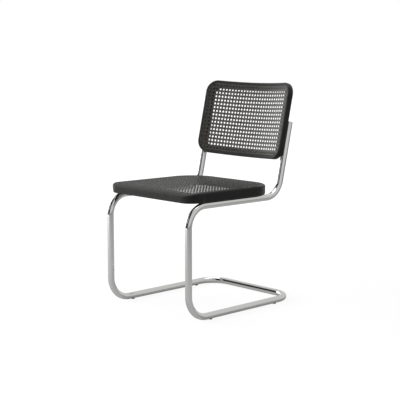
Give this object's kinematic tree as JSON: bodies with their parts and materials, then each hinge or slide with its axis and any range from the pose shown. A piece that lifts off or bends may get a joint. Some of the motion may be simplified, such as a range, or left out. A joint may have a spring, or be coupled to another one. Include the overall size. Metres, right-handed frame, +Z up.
{
  "type": "cantilever dining chair",
  "caption": "Armless cantilever chair: one bent tube on a floor loop carries a caned seat frame and a bowed, caned back frame.",
  "frame": {"origin": "on the floor, under the centre of the chair's bounding box", "axes": "+Z up from the floor, -Y the way the chair faces, +X towards the sitter's left side"},
  "size_m": [0.4644, 0.5993, 0.8492],
  "materials": {
    "chrome": "polished chrome plating",
    "wood": "beech, black stain under satin lacquer",
    "cane": "woven rattan cane, black, slightly glossy bark",
    "spline": "rattan reed, black stain",
    "screw": "zinc-plated steel",
    "insert": "plain brass",
    "glide": "natural moulded polyamide"
  },
  "bodies": {
    "root": {"tube_frame": "chrome", "post_caps": "chrome", "floor_glides": "glide", "seat_front_rail": "wood", "seat_rear_rail": "wood", "seat_side_rail_left": "wood", "seat_side_rail_right": "wood", "seat_cane": "cane", "seat_spline": "spline", "seat_screws": "screw", "seat_inserts": "insert", "back_top_rail": "wood", "back_bottom_rail": "wood", "back_stile_left": "wood", "back_stile_right": "wood", "back_cane": "cane", "back_spline": "spline", "back_screws": "screw", "back_inserts": "insert"}
  },
  "joints": []
}
